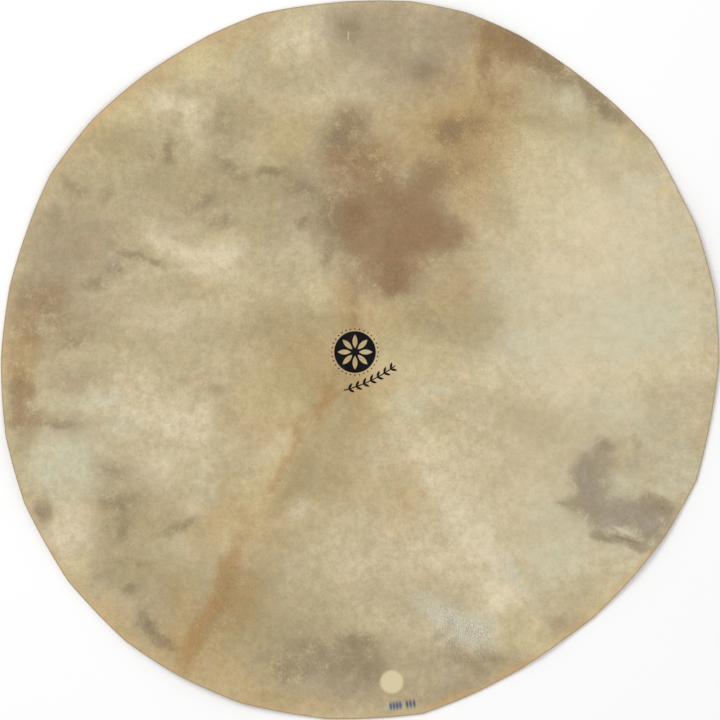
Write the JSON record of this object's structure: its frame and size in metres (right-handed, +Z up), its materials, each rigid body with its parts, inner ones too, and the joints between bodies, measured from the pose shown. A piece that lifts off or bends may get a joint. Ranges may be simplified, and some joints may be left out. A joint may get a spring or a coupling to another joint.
{
  "type": "rawhide drum skin",
  "caption": "Loose, unmounted round blank of natural rawhide, hand-cut, that is soaked and lapped over a hoop to become a hand drum's playing head.",
  "frame": {"origin": "middle of the blank's box, on the flesh side that it lies on", "axes": "+Z up, out of the grain side that is played; +Y towards the top of the printed mark; +X to its right"},
  "size_m": [0.5582, 0.5586, 0.0021],
  "materials": {
    "rawhide": "natural rawhide, clouded cream, tan and grey-brown, low gloss",
    "mark_ink": "blue-black printing ink, matt",
    "label_paper": "plain cream paper",
    "stamp_ink": "blue stamp ink soaked into the hide"
  },
  "bodies": {
    "root": {"hide_blank": "rawhide", "mark_roundel": "mark_ink", "mark_dots": "mark_ink", "mark_sprig": "mark_ink", "paper_label": "label_paper", "ink_stamp": "stamp_ink"}
  },
  "joints": []
}
